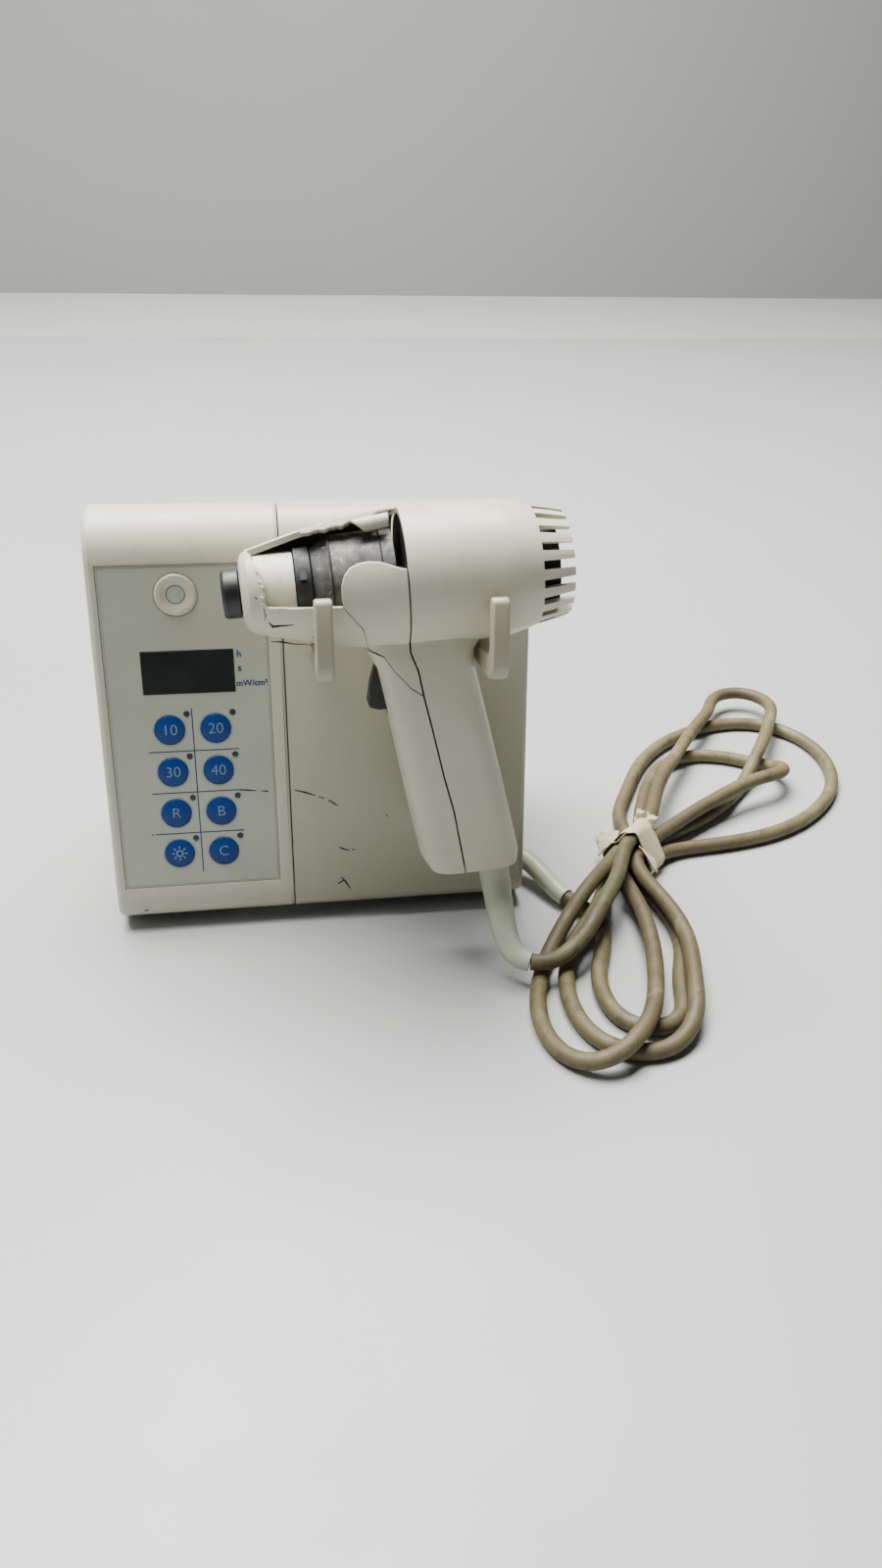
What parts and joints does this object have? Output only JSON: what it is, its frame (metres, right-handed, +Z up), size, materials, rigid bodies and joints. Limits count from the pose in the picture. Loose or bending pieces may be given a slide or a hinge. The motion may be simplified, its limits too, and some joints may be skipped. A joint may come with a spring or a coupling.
{
  "type": "light curing lamp with console",
  "caption": "Light-curing lamp: tabletop console with display and keypad, and a pistol-shaped light gun resting in its hooks on a bundled lead.",
  "frame": {"origin": "centre of the console and gun's footprint, on the table under the rubber feet", "axes": "+Z up from the table; +X to the right along the console's front; +Y from the front to the back"},
  "size_m": [0.3805, 0.3026, 0.1892],
  "materials": {
    "housing_plastic": "warm white moulded plastic with a fine texture, yellowed a little with age",
    "overlay_film": "printed film in pale grey-white with blue and grey print",
    "display_glass": "dark glossy window",
    "clear_lens": "milky clear plastic or glass",
    "key_blue": "blue moulded keys with light print",
    "black_plastic": "black plastic",
    "white_ceramic": "plain white ceramic",
    "lamp_metal": "heat-stained metal, scuffed and speckled",
    "bulb_glass": "reflector coated glass",
    "sheet_steel": "bare sheet steel",
    "aluminium": "extruded aluminium",
    "copper_winding": "varnished copper wire",
    "circuit_board": "green board",
    "rubber": "black rubber",
    "lead_jacket": "cream flexible jacket, stained brown and green",
    "relief_rubber": "pale green-white soft plastic",
    "tape": "pale crinkled tape"
  },
  "bodies": {
    "console": {"left_shell": "housing_plastic", "right_shell": "housing_plastic", "radiometer_ring": "housing_plastic", "holder_left": "housing_plastic", "holder_right": "housing_plastic", "rear_panel": "housing_plastic", "control_overlay": "overlay_film", "display_window": "display_glass", "radiometer_lens": "clear_lens", "led_light_pipe": "clear_lens", "display_module": "black_plastic", "power_switch_body": "black_plastic", "mains_inlet": "black_plastic", "fuse_holder": "black_plastic", "smoothing_capacitor": "black_plastic", "beeper": "black_plastic", "base_plate": "sheet_steel", "transformer_core": "sheet_steel", "heat_sink": "aluminium", "transformer_coil": "copper_winding", "key_switch_board": "circuit_board", "power_board": "circuit_board", "control_board": "circuit_board", "foot_front_left": "rubber", "foot_rear_left": "rubber", "foot_front_right": "rubber", "foot_rear_right": "rubber", "lead": "lead_jacket", "console_strain_relief": "relief_rubber", "lead_tape": "tape"},
    "handpiece": {"nose_cover": "housing_plastic", "shoulder_piece": "housing_plastic", "grip_front_shell": "housing_plastic", "rear_housing": "housing_plastic", "light_guide_collar": "black_plastic", "filter_tube": "white_ceramic", "heat_filter": "clear_lens", "filter_ring": "black_plastic", "lamp_housing": "lamp_metal", "lamp_bulb": "bulb_glass", "lamp_disc": "black_plastic", "lamp_socket": "white_ceramic", "fan_frame": "black_plastic", "trigger_switch": "black_plastic", "trigger_spring": "sheet_steel", "gun_strain_relief": "relief_rubber"},
    "trigger_blade": {"trigger": "black_plastic"},
    "cooling_fan": {"fan_rotor": "black_plastic"},
    "rocker": {"power_rocker": "black_plastic"},
    "key_10_cap": {"key_10": "key_blue"},
    "key_20_cap": {"key_20": "key_blue"},
    "key_30_cap": {"key_30": "key_blue"},
    "key_40_cap": {"key_40": "key_blue"},
    "key_r_cap": {"key_r": "key_blue"},
    "key_b_cap": {"key_b": "key_blue"},
    "key_mode_cap": {"key_mode": "key_blue"},
    "key_c_cap": {"key_c": "key_blue"}
  },
  "joints": [
    {"name": "handpiece_lift", "type": "slide", "parent": "console", "child": "handpiece", "axis": [-0.2414, 0.1689, 0.9556], "range_m": [0, 0.06]},
    {"name": "trigger_pull", "type": "hinge", "parent": "handpiece", "child": "trigger_blade", "pos_m": [0.0242, -0.04855, 0.12495], "axis": [0, -0.9848, 0.1736], "range_deg": [0, 8], "stiffness_Nm_per_rad": 0.05, "springref_deg": -1.15},
    {"name": "fan_spin", "type": "hinge", "parent": "handpiece", "child": "cooling_fan", "pos_m": [0.07515, -0.04169, 0.16388], "axis": [0.9977, 0.0117, 0.0665], "continuous": true},
    {"name": "power_switch", "type": "hinge", "parent": "console", "child": "rocker", "pos_m": [-0.08859, 0.00129, 0.04481], "axis": [0, 0.9848, -0.1736], "range_deg": [0, 20]},
    {"name": "key_10_press", "type": "slide", "parent": "console", "child": "key_10_cap", "axis": [0, 0.9848, -0.1736], "range_m": [0, 0.0004], "stiffness_N_per_m": 500, "springref_m": -0.0001},
    {"name": "key_20_press", "type": "slide", "parent": "console", "child": "key_20_cap", "axis": [0, 0.9848, -0.1736], "range_m": [0, 0.0004], "stiffness_N_per_m": 500, "springref_m": -0.0001},
    {"name": "key_30_press", "type": "slide", "parent": "console", "child": "key_30_cap", "axis": [0, 0.9848, -0.1736], "range_m": [0, 0.0004], "stiffness_N_per_m": 500, "springref_m": -0.0001},
    {"name": "key_40_press", "type": "slide", "parent": "console", "child": "key_40_cap", "axis": [0, 0.9848, -0.1736], "range_m": [0, 0.0004], "stiffness_N_per_m": 500, "springref_m": -0.0001},
    {"name": "key_r_press", "type": "slide", "parent": "console", "child": "key_r_cap", "axis": [0, 0.9848, -0.1736], "range_m": [0, 0.0004], "stiffness_N_per_m": 500, "springref_m": -0.0001},
    {"name": "key_b_press", "type": "slide", "parent": "console", "child": "key_b_cap", "axis": [0, 0.9848, -0.1736], "range_m": [0, 0.0004], "stiffness_N_per_m": 500, "springref_m": -0.0001},
    {"name": "key_mode_press", "type": "slide", "parent": "console", "child": "key_mode_cap", "axis": [0, 0.9848, -0.1736], "range_m": [0, 0.0004], "stiffness_N_per_m": 500, "springref_m": -0.0001},
    {"name": "key_c_press", "type": "slide", "parent": "console", "child": "key_c_cap", "axis": [0, 0.9848, -0.1736], "range_m": [0, 0.0004], "stiffness_N_per_m": 500, "springref_m": -0.0001}
  ]
}
